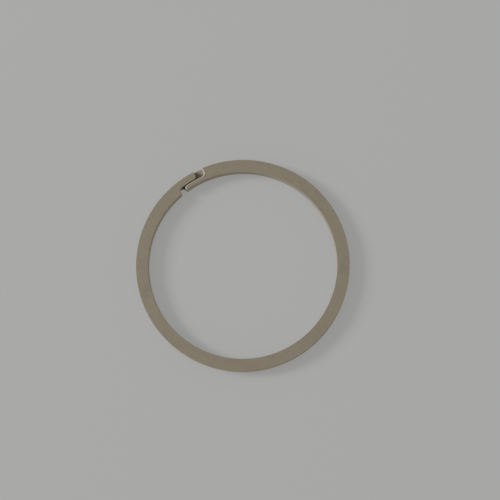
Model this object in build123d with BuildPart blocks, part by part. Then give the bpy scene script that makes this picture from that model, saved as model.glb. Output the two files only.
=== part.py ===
"""A split sealing ring for a shaft groove, moulded in one piece, with its ends lapped in a stepped joint.

The ring lies flat: its lower side face is on Z = 0, its axis is Z, and +X runs through the middle of
the joint.  At mid height the joint is split in two halves, one above the other.  In each half a tongue
grows from one end and lies outside a narrow land of the other end, in a pocket that is open to the
sealing face.  The upper tongue grows from the end on +Y and the lower one from the end on -Y, so the
ring looks the same from both sides: half a turn about the +X line swaps the two halves.
"""

import os
from math import atan2, degrees, hypot

from build123d import *

# ---- driving dimensions, in millimetres -------------------------------------------------------

outer_diameter = 30.0  # over the sealing face, with the ring relaxed
radial_width = 1.75  # from the inner face to the sealing face
axial_width = 1.5  # from one side face to the other

end_gap = 0.9  # between the two inner end faces, with the ring relaxed
tongue_width = 1.0  # the radial width of each tongue, measured in from the sealing face
tongue_length = 3.1  # from the end face that a tongue grows past, to its tip
tip_clearance = 0.3  # from a tongue's tip to its pocket's wall, once the end faces have met
radial_clearance = 0.14  # between a tongue and the land inside it
axial_clearance = 0.06  # between the two tongues, one above the other

tongue_tip_round = 0.4  # plan radius of a tongue's inner corner
tongue_root_round = 0.56  # plan radius where a tongue leaves its end face
land_tip_round = 0.4  # plan radius of a land's outer corner
pocket_corner_round = 0.55  # plan radius where a land runs into its pocket's wall

root_share = 0.75  # the most of an end face's width that the round at a tongue's root may take
tip_share = 0.66  # the most of a land's width that its tip's rounding may take
corner_share = 0.2  # the most of a land's width that its end's inner corner may take
edge_share = 0.25  # the most of a land's width that the round along its edge may take

rim_chamfer = 0.05  # along the sealing face and the inner face
end_chamfer = 0.12  # in plan, on each end's corner at the inner face
tongue_edge_round = 0.06  # round the side face of a tongue and of the end it grows from
pocket_edge_round = 0.15  # round the side face of a land and up its pocket's wall

# ---- what follows from them -------------------------------------------------------------------

outer_radius = outer_diameter / 2
inner_radius = outer_radius - radial_width
middle_radius = (outer_radius + inner_radius) / 2
tongue_radius = outer_radius - tongue_width  # the inner face of a tongue
land_radius = tongue_radius - radial_clearance  # the outer face of a land
land_width = land_radius - inner_radius
end_width = tongue_radius - inner_radius  # of the end face that a tongue grows past
pocket_length = tongue_length + tip_clearance  # from an end face to the pocket's wall
tongue_root_radius = min(tongue_root_round, end_width * root_share)
land_tip_radius = min(land_tip_round, land_width * tip_share)
corner_cut = min(end_chamfer, land_width * corner_share)
pocket_edge_radius = min(pocket_edge_round, land_width * edge_share)
spare = 1.0  # how far a cutting shape runs past the ring


def turn(length):
    """The angle in degrees that a length takes up along the middle of the ring."""
    return degrees(length / middle_radius)


end_angle = turn(end_gap / 2)
tip_angle = turn(tongue_length - end_gap / 2)
wall_angle = turn(pocket_length + end_gap / 2)


# ---- outlines in plan, drawn with the joint's middle on +X --------------------------------------


def polar(radius, angle):
    """The point at a radius and an angle in degrees from +X."""
    return Vector(radius, 0).rotate(Axis.Z, angle)


def arc(radius, start, end):
    """Draws an arc about the ring's axis, between two angles in degrees."""
    CenterArc((0, 0), radius, start, end - start)


def round_corners(plan, corners):
    """Rounds a sketch's corners, each given as its radius and angle in plan and its rounding."""
    for radius, angle, rounding in corners:
        fillet(plan.vertices().sort_by_distance(polar(radius, angle))[0], rounding)


def joint_gap_plan():
    """The empty space in one half of the joint: end gap, lap clearance and the pocket's free end."""
    inside = inner_radius - spare
    outside = outer_radius + spare
    corner_radius = inner_radius + corner_cut
    flared_angle = end_angle + turn(spare + corner_cut)
    with BuildSketch() as plan:
        with BuildLine():
            Line(polar(inside, flared_angle), polar(corner_radius, end_angle))
            Line(polar(corner_radius, end_angle), polar(tongue_radius, end_angle))
            arc(tongue_radius, end_angle, -tip_angle)
            Line(polar(tongue_radius, -tip_angle), polar(outside, -tip_angle))
            arc(outside, -tip_angle, -wall_angle)
            Line(polar(outside, -wall_angle), polar(land_radius, -wall_angle))
            arc(land_radius, -wall_angle, -end_angle)
            Line(polar(land_radius, -end_angle), polar(corner_radius, -end_angle))
            Line(polar(corner_radius, -end_angle), polar(inside, -flared_angle))
            arc(inside, -flared_angle, flared_angle)
        make_face()
        round_corners(
            plan,
            [
                (tongue_radius, end_angle, tongue_root_radius),
                (tongue_radius, -tip_angle, tongue_tip_round),
                (land_radius, -wall_angle, pocket_corner_round),
                (land_radius, -end_angle, land_tip_radius),
            ],
        )
    return plan.sketch


def slit_plan():
    """The thin clearance between the two tongues, which reaches over both pockets."""
    outside = outer_radius + spare
    with BuildSketch() as plan:
        with BuildLine():
            arc(land_radius, -wall_angle, wall_angle)
            Line(polar(land_radius, wall_angle), polar(outside, wall_angle))
            arc(outside, wall_angle, -wall_angle)
            Line(polar(outside, -wall_angle), polar(land_radius, -wall_angle))
        make_face()
        round_corners(
            plan,
            [
                (land_radius, wall_angle, pocket_corner_round),
                (land_radius, -wall_angle, pocket_corner_round),
            ],
        )
    return plan.sketch


# ---- the joint's edges on a side face ------------------------------------------------------------


def place(edge, half):
    """The radius, and the angle in degrees, of an edge's middle, in the frame of one half of the joint."""
    middle_point = half.to_local_coords(edge @ 0.5)
    return hypot(middle_point.X, middle_point.Y), degrees(atan2(middle_point.Y, middle_point.X))


def is_rim(edge, half):
    """True for the long edges that run round the ring, along its chamfers."""
    radius, _ = place(edge, half)
    rims = (inner_radius + rim_chamfer, outer_radius - rim_chamfer)
    return any(abs(radius - rim) < rim_chamfer / 2 for rim in rims)


def is_by_pocket(edge, half):
    """True for the edges round a land and up its pocket's wall, and not for those of the tongue."""
    radius, angle = place(edge, half)
    on_land = radius < tongue_radius - radial_clearance / 2 and angle < 0
    on_wall = angle < -(tip_angle + wall_angle) / 2
    return on_land or on_wall


# ---- the ring --------------------------------------------------------------------------------------

upper_half = Plane.XY.offset(axial_width / 2)
lower_half = Plane(upper_half.origin, x_dir=upper_half.x_dir, z_dir=-upper_half.z_dir)

with BuildPart() as sealing_ring:
    with BuildSketch(Plane.XZ) as section:
        with Locations((middle_radius, axial_width / 2)):
            Rectangle(radial_width, axial_width)
        chamfer(section.vertices(), rim_chamfer)
    revolve(axis=Axis.Z)

    for half in (upper_half, lower_half):
        with BuildSketch(half):
            add(joint_gap_plan())
        extrude(amount=axial_width / 2 + spare, mode=Mode.SUBTRACT)

    with BuildSketch(upper_half.offset(-axial_clearance / 2)):
        add(slit_plan())
    extrude(amount=axial_clearance, mode=Mode.SUBTRACT)

    for half in (upper_half, lower_half):
        side_face = sealing_ring.faces().sort_by(Axis(half.origin, half.z_dir))[-1]
        joint_edges = side_face.edges().filter_by(lambda edge: not is_rim(edge, half))
        fillet(joint_edges.filter_by(lambda edge: is_by_pocket(edge, half)), pocket_edge_radius)
        side_face = sealing_ring.faces().sort_by(Axis(half.origin, half.z_dir))[-1]
        joint_edges = side_face.edges().filter_by(lambda edge: not is_rim(edge, half))
        fillet(joint_edges.filter_by(lambda edge: not is_by_pocket(edge, half)), tongue_edge_round)

sealing_ring.part.label = "sealing_ring"
os.makedirs("parts", exist_ok=True)
export_step(sealing_ring.part, "parts/sealing_ring.step")
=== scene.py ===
# %% [markdown]
# A SPLIT SEALING RING ON A TABLE
#
# The object is a sealing ring for an oil-fed shaft, moulded in one piece from PEEK, a hard beige
# polymer.  It is thirty millimetres across and its two ends lap in a stepped joint.  The construction
# model already has the ring's true shape, so that model comes in as a fixed frame, and this lesson
# gives it a camera, a table, soft light and a finish.  Lengths are in metres, as in the frame, and
# `MM` turns a drawing's millimetres into them.

# %%
# Load the frame
import math

import bpy
from mathutils import Matrix, Vector


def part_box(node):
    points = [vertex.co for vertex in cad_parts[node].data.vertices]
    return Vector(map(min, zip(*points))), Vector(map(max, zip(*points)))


MM = 0.001
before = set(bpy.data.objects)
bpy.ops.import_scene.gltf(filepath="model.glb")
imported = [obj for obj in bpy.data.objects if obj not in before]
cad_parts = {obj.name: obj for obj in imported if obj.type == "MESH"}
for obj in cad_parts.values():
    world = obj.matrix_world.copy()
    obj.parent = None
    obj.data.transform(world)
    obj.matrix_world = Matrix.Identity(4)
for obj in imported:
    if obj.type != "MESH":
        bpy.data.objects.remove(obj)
scene = bpy.context.scene
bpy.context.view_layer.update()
ring_low, ring_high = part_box("sealing_ring")
ring_height = ring_high.z - ring_low.z
outer_radius = (ring_high.y - ring_low.y) / 2
print("the ring is", round(2 * outer_radius / MM, 2), "mm across and", round(ring_height / MM, 2), "mm high")

# %% [markdown]
# BEARINGS
#
# The frame's +X runs through the joint, and in the view the joint stands at the upper left.  So the
# camera and the lamp are placed by bearings: degrees counterclockwise from the view's right-hand side.
# One helper turns a bearing into a direction on the table.

# %%
# A direction from a bearing
JOINT_BEARING = 128.4


def bearing(degrees):
    """The direction on the table that shows at this bearing in the view."""
    angle = math.radians(degrees - JOINT_BEARING)
    return Vector((math.cos(angle), math.sin(angle), 0))


def raised(degrees, elevation):
    """The same direction, raised above the table by an angle in degrees."""
    rise = math.radians(elevation)
    return bearing(degrees) * math.cos(rise) + Vector((0, 0, math.sin(rise)))


print("the view's right-hand side in the frame:", [round(c, 3) for c in bearing(0)])

# %% [markdown]
# THE CAMERA
#
# The camera looks almost straight down from twenty centimetres away.  It leans out to the lower side by
# some nine degrees, and that lean is what shows a thin band of the inner wall along the ring's upper
# left.  A Track To constraint could aim it, but that would leave its roll to a rule.  Three unit vectors,
# back, right and up, say exactly how it is held, and they are the columns of its matrix.  The lens
# follows from the distance and from how wide a strip of table the view takes in.

# %%
# The camera
CAMERA_BEARING, CAMERA_ELEVATION = 280, 80.65
CAMERA_DISTANCE = 200 * MM
VIEW_WIDTH = 70.2 * MM
VIEW_MIDDLE = (1.06 * MM, 2.02 * MM)  # right of and above the ring's middle

ring_top = Vector((0, 0, ring_high.z))
back = raised(CAMERA_BEARING, CAMERA_ELEVATION)
right = bearing(90).cross(back).normalized()
up = back.cross(right)
aim = ring_top + bearing(0) * VIEW_MIDDLE[0] + bearing(90) * VIEW_MIDDLE[1]

camera_data = bpy.data.cameras.new("view_camera")
camera_data.lens = camera_data.sensor_width * CAMERA_DISTANCE / VIEW_WIDTH
camera_data.clip_start = 1 * MM
camera = bpy.data.objects.new("view_camera", camera_data)
scene.collection.objects.link(camera)
held = Matrix((right, up, back)).transposed().to_4x4()
camera.matrix_world = Matrix.Translation(aim + back * CAMERA_DISTANCE) @ held
scene.camera = camera
print("the lens, in mm:", round(camera_data.lens, 1))

# %% [markdown]
# NODE HELPERS
#
# Both finishes are built from shader nodes.  In the editor a node is added, its fields are filled in and
# wires are drawn; these helpers do the same in one call.  An input is given by its name or its number,
# and gets either a value or another node's socket.

# %%
# Helpers for nodes
def start_finish(name):
    """A new material, its node tree and the shader that the tree starts with."""
    material = bpy.data.materials.new(name)
    material.use_nodes = True
    return material, material.node_tree, material.node_tree.nodes["Principled BSDF"]


def fill(tree, node, inputs):
    """Gives a node's inputs their values, and draws a wire where the value is a socket."""
    for key, value in inputs.items():
        if isinstance(value, bpy.types.NodeSocket):
            tree.links.new(value, node.inputs[key])
        else:
            node.inputs[key].default_value = value
    return node


def add_node(tree, kind, inputs, **settings):
    """A new shader node with its settings and its inputs."""
    node = tree.nodes.new("ShaderNode" + kind)
    for name, value in settings.items():
        setattr(node, name, value)
    return fill(tree, node, inputs)


print("helpers: start_finish, fill, add_node")

# %% [markdown]
# THE TABLE
#
# The ring lies on a plain pale sheet that is large enough for every view.  A white sheet in a bright room
# takes only weak shadows, because light also comes to it through and along the sheet.  So what the camera
# sees, straight or in a reflection, is part matte paper, which keeps the ring's shadow, and part a steady
# pale tone.  Light that bounces off the sheet comes from plain paper, and it lights the ring's walls.

# %%
# The table
TABLE_WIDTH = 6.0
PAPER = (0.62, 0.62, 0.612, 1)
PALE_TONE = (0.32, 0.32, 0.317, 1)
PALE_SHARE = 0.76

bpy.ops.mesh.primitive_plane_add(size=TABLE_WIDTH, location=(0, 0, ring_low.z))
table = bpy.context.object
table.name = "table"

paper_finish, paper, paper_shader = start_finish("pale_paper")
fill(paper, paper_shader, {"Base Color": PAPER, "Roughness": 0.85, "Specular IOR Level": 0.15})
tone = add_node(paper, "Emission", {"Color": PALE_TONE})
path = add_node(paper, "LightPath", {})
seen = path.outputs["Is Camera Ray"]
for kind in ("Is Glossy Ray", "Is Transmission Ray"):
    seen = add_node(paper, "Math", {0: seen, 1: path.outputs[kind]}, operation="MAXIMUM").outputs[0]
share = add_node(paper, "Math", {0: seen, 1: PALE_SHARE}, operation="MULTIPLY")
sheet = add_node(paper, "MixShader", {0: share.outputs[0], 1: paper_shader.outputs[0], 2: tone.outputs[0]})
fill(paper, paper.nodes["Material Output"], {"Surface": sheet.outputs[0]})
table.data.materials.append(paper_finish)
print("the table is", TABLE_WIDTH, "m wide")

# %% [markdown]
# THE LIGHT
#
# A white world lights every side evenly, as a white room does.  One square lamp stands for a window low on
# the left.  Because it is low, it leaves the joint's narrow gaps in shade, and it draws a bright line along
# each rounded edge that faces it.  Together the two bring a level surface to about the tone that its
# colour is written in.

# %%
# The world and the window
ROOM_LIGHT = 0.52
WINDOW_BEARING, WINDOW_ELEVATION = 168, 28
WINDOW_DISTANCE, WINDOW_WIDTH, WINDOW_POWER = 1.2, 0.377, 15.0

room = bpy.data.worlds.new("white_room")
room.use_nodes = True
fill(room.node_tree, room.node_tree.nodes["Background"], {"Color": (1, 1, 1, 1), "Strength": ROOM_LIGHT})
scene.world = room

window_data = bpy.data.lights.new("window", "AREA")
window_data.size = WINDOW_WIDTH
window_data.energy = WINDOW_POWER
window = bpy.data.objects.new("window", window_data)
scene.collection.objects.link(window)
from_ring = raised(WINDOW_BEARING, WINDOW_ELEVATION)
faced = from_ring.to_track_quat("Z", "Y").to_matrix().to_4x4()
window.matrix_world = Matrix.Translation(ring_top + from_ring * WINDOW_DISTANCE) @ faced
print("the window stands at", [round(c, 3) for c in window.matrix_world.translation])

# %% [markdown]
# THE RING'S FINISH: WHERE A POINT LIES
#
# On the real ring, what a spot looks like depends on where it lies.  The side faces are lapped flat, the
# walls keep the mould's skin, and the joint's pockets are trimmed.  Some places also get painted light: the
# walls are made paler, which stands in for the light that the sheet throws on them, the pockets' rounded
# edges get a painted highlight and the joint's narrow gaps a painted shade.  Masks could be painted by
# hand, but the ring is a turned shape, so three measures of an Object coordinate are enough: the radius,
# the depth below the nearer side face, and how far along the joint a point is.  Half a turn about +X swaps
# the joint's two halves, so the last measure changes sign at mid height.

# %%
# The finish's tree, and helpers for its measures and masks
finish, ring_tree, ring_shader = start_finish("ring_polymer")


def calc(operation, *numbers):
    """One step of arithmetic on sockets and numbers."""
    return add_node(ring_tree, "Math", dict(enumerate(numbers)), operation=operation).outputs[0]


def between(number, low, high):
    """A mask that goes smoothly from 0 where a measure is low to 1 where it is high."""
    inputs = {"Value": number, "From Min": low, "From Max": high}
    return add_node(ring_tree, "MapRange", inputs, interpolation_type="SMOOTHSTEP").outputs[0]


def opposite(mask):
    """The mask that is 1 where the given one is 0."""
    return calc("SUBTRACT", 1, mask)


def both(*masks):
    """The masks multiplied: 1 only where each of them is 1."""
    result = masks[0]
    for mask in masks[1:]:
        result = calc("MULTIPLY", result, mask)
    return result


print("helpers: calc, between, opposite, both")

# %%
# Measures of a point
half_height = ring_height / 2
place = add_node(ring_tree, "TexCoord", {}).outputs["Object"]
split = add_node(ring_tree, "SeparateXYZ", {0: place})
on_table = add_node(ring_tree, "VectorMath", {0: place, 1: (1, 1, 0)}, operation="MULTIPLY").outputs[0]
radius = add_node(ring_tree, "VectorMath", {0: on_table}, operation="LENGTH").outputs["Value"]
above_middle = calc("SUBTRACT", split.outputs["Z"], half_height)
depth = calc("SUBTRACT", half_height, calc("ABSOLUTE", above_middle))
along_joint = calc("MULTIPLY", calc("MULTIPLY", split.outputs["Y"], -1), calc("SIGN", above_middle))
print("measures: radius, depth, along_joint")

# %% [markdown]
# THE RING'S FINISH: ITS ZONES
#
# Four masks follow from the measures.  `lapped` is the flat side faces.  `in_joint` is all that lies inside
# the joint, between the inner face and the sealing face.  The third is the rounded edge of each pocket,
# which is smoother and is painted pale as a highlight, and the fourth is the narrow part of the joint,
# which is painted dark as shade.

# %%
# Where each zone fades in or out
INNER_RADIUS = 13.25 * MM
JOINT_REACH = 4.3 * MM  # from the joint's middle to past its pockets

LAPPED_DEPTH = 0, 0.03 * MM
JOINT_SIDE = 11.8 * MM, 12.0 * MM
JOINT_END = JOINT_REACH, 1.05 * JOINT_REACH
JOINT_INSIDE = INNER_RADIUS + 0.03 * MM, INNER_RADIUS + 0.09 * MM
JOINT_OUTSIDE = -outer_radius + 0.02 * MM, -outer_radius + 0.07 * MM
TRIMMED_START = 0.1 * MM, 0.4 * MM
TRIMMED_TOP = 0.0005 * MM, 0.008 * MM
TRIMMED_FOOT = 0.12 * MM, 0.22 * MM
# painted shade: below this depth and near the joint's middle the joint is painted dark, where the window's
# light does not reach
SHADE_TOP = 0.08 * MM, 0.40 * MM
SHADE_END = 2.3 * MM, 4.1 * MM
print("the joint's zones reach", round(JOINT_REACH / MM, 1), "mm to each side of its middle")

# %%
# The zones' masks
lapped = opposite(between(depth, *LAPPED_DEPTH))
from_middle = calc("ABSOLUTE", split.outputs["Y"])
in_joint = both(
    between(split.outputs["X"], *JOINT_SIDE),
    opposite(between(from_middle, *JOINT_END)),
    between(radius, *JOINT_INSIDE),
    between(calc("MULTIPLY", radius, -1), *JOINT_OUTSIDE),
)
# the pockets' rounded edges: they get a painted highlight in the colour and are made smoother below
trimmed_edge_and_highlight = both(
    in_joint,
    between(along_joint, *TRIMMED_START),
    between(depth, *TRIMMED_TOP),
    opposite(between(depth, *TRIMMED_FOOT)),
)
# painted shade: the joint's narrow part, darkest near its middle and fading out towards the pockets' far
# walls
painted_joint_shade = both(
    in_joint,
    between(depth, *SHADE_TOP),
    opposite(between(from_middle, *SHADE_END)),
)
print("zones: lapped, in_joint, trimmed, oily")

# %% [markdown]
# THE RING'S FINISH: GRAIN
#
# Unfilled PEEK is an even beige with soft clouds in it, where the melt cooled faster or slower.  Over them
# lies a fine grain, and on the side faces the crossing hair lines that lapping leaves.  Image textures
# would have to be wrapped round the ring; noise on Object coordinates needs no wrapping and has its true
# size everywhere.  A noise node's scale is the number of spots in a metre.

# %%
# Noise at three sizes, and lapping lines
CLOUD_SPOTS, PATCH_SPOTS, GRAIN_SPOTS = 420, 1500, 6500
DETAIL_STRENGTH = 0.55
LINE_LENGTH = 30  # how many times longer than wide a hair line is


def noise(spots, detail, vector=place):
    """Smooth noise from 0 to 1, with so many spots to the metre."""
    inputs = {"Vector": vector, "Scale": spots, "Detail": detail, "Roughness": DETAIL_STRENGTH}
    return add_node(ring_tree, "TexNoise", inputs).outputs[0]


def lines(angle, spots):
    """Hair lines: noise that is drawn out along one direction of the side face."""
    inputs = {"Vector": place, "Rotation": (0, 0, angle), "Scale": (1, LINE_LENGTH, 1)}
    return noise(spots, 2, add_node(ring_tree, "Mapping", inputs).outputs[0])


clouds = noise(CLOUD_SPOTS, 3)
patches = noise(PATCH_SPOTS, 2)
grain = noise(GRAIN_SPOTS, 3)
lapping = calc("MULTIPLY", calc("ADD", lines(0.5, 700), lines(2.2, 900)), 0.5)
print("noise: clouds, patches, grain, lapping")

# %% [markdown]
# THE RING'S FINISH: COLOUR
#
# Colour is built up as a painter would: the beige ground, clouds that are a little darker and redder,
# smaller patches that are a little greener, fine dark grain and a few faint finger marks.  Then come painted
# light and shade: the walls made paler, which stands in for the light that the sheet throws on them, a
# painted highlight on the pockets' trimmed edges and last a painted shade in the joint's narrow gaps.  Each
# layer is one Mix node with its own mask, so any of them can be changed without touching the rest.

# %%
# The colours, each named for what it stands for
GROUND = (0.202, 0.168, 0.117, 1)
CLOUD = (0.188, 0.149, 0.104, 1)
PATCH = (0.203, 0.181, 0.118, 1)
PIT = (0.140, 0.116, 0.078, 1)
MARK = (0.160, 0.135, 0.098, 1)
# painted light: the walls made paler, standing in for the light that the sheet throws on them
PAINTED_WALL_LIGHT = (0.275, 0.235, 0.172, 1)
# painted highlight on the pockets' rounded edges
PAINTED_HIGHLIGHT = (0.37, 0.33, 0.26, 1)
# painted shade for the joint's narrow gaps and pockets
PAINTED_SHADE = (0.022, 0.013, 0.003, 1)
print("the ground's red, green and blue:", GROUND[:3])


# %%
# The layers over the ground
def layer(under, color, mask, share):
    """A colour laid over another where a mask is 1, and covering it by a share from 0 to 1."""
    mix = add_node(ring_tree, "Mix", {}, data_type="RGBA")
    return fill(ring_tree, mix, {0: calc("MULTIPLY", mask, share), 6: under, 7: color}).outputs[2]


marks = both(between(noise(260, 1), 0.60, 0.72), between(noise(900, 3), 0.40, 0.65))
color = layer(GROUND, CLOUD, between(clouds, 0.42, 0.70), 0.55)
color = layer(color, PATCH, between(patches, 0.45, 0.75), 0.75)
color = layer(color, PIT, between(grain, 0.48, 0.72), 0.5)
color = layer(color, MARK, marks, 0.5)
# painted light: every wall made paler, as if lit by the sheet
color = layer(color, PAINTED_WALL_LIGHT, opposite(lapped), 0.9)
# painted highlight: the pockets' rounded edges made paler
color = layer(color, PAINTED_HIGHLIGHT, trimmed_edge_and_highlight, 0.75)
# painted shade: the joint's narrow gaps and pockets darkened
color = layer(color, PAINTED_SHADE, painted_joint_shade, 0.9)
fill(ring_tree, ring_shader, {"Base Color": color})
print("colour: a ground and 7 layers")

# %% [markdown]
# THE RING'S FINISH: SHEEN AND RELIEF
#
# Lapped faces are dull and moulded walls are smoother.  The pockets' trimmed edges are the smoothest, so
# they catch the window as a bright line, and a painted highlight in their colour makes that line brighter.
# The relief is a micrometre or two: grain all over, lapping lines on the side faces, and fine lines round
# the walls where the mould was turned.  It goes into a Bump node, because such shallow marks never show in
# outline.  A little light passes into PEEK before it comes back out, which softens its thin edges, so the
# shader gets some subsurface scattering.

# %%
# Dullness
MOULDED, LAPPED, TRIMMED = 0.40, 0.50, 0.26


def added(start, *parts):
    """A starting number or socket, with each part added in its share."""
    for part, share in parts:
        start = calc("ADD", start, calc("MULTIPLY", part, share))
    return start


dullness = added(
    MOULDED,
    (lapped, LAPPED - MOULDED),
    (trimmed_edge_and_highlight, TRIMMED - MOULDED),
    (calc("SUBTRACT", patches, 0.5), 0.12),
    (calc("SUBTRACT", lapping, 0.5), 0.10),
)
print("roughness:", TRIMMED, "to", LAPPED)

# %%
# Relief, and the shader's other inputs
RELIEF_HEIGHT = 0.002 * MM
TURNING_SPOTS = 16000

turned = add_node(ring_tree, "Mapping", {"Vector": place, "Scale": (0.04, 0.04, 1)}).outputs[0]
turning = both(noise(TURNING_SPOTS, 2, turned), opposite(lapped))
relief = added(calc("MULTIPLY", grain, 0.6), (both(lapping, lapped), 0.8), (turning, 0.7))
bump = add_node(ring_tree, "Bump", {"Height": relief, "Distance": RELIEF_HEIGHT, "Strength": 1.0})

fill(ring_tree, ring_shader, {
    "Roughness": dullness,
    "Normal": bump.outputs[0],
    "IOR": 1.6,
    "Subsurface Weight": 0.15,
    "Subsurface Radius": (1.0, 0.75, 0.45),
    "Subsurface Scale": 0.3 * MM,
})
print("relief, in micrometres:", round(1000 * RELIEF_HEIGHT / MM, 1))

# %% [markdown]
# PUT THE FINISH ON THE RING
#
# The frame's own mesh is never changed.  Its material slot gets the new finish, and the slot's name tells a
# later scene which of the record's materials this is.

# %%
# The ring
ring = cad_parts["sealing_ring"]
ring.data.materials.clear()
ring.data.materials.append(finish)
print("the ring has", len(ring.data.polygons), "faces and", len(ring_tree.nodes), "nodes in its finish")

# %% [markdown]
# THE VIEW TRANSFORM
#
# The finish must not change the ring's size.  The view transform is Standard, so that colours stay as they
# are written.

# %%
# The view transform
scene.view_settings.view_transform = "Standard"
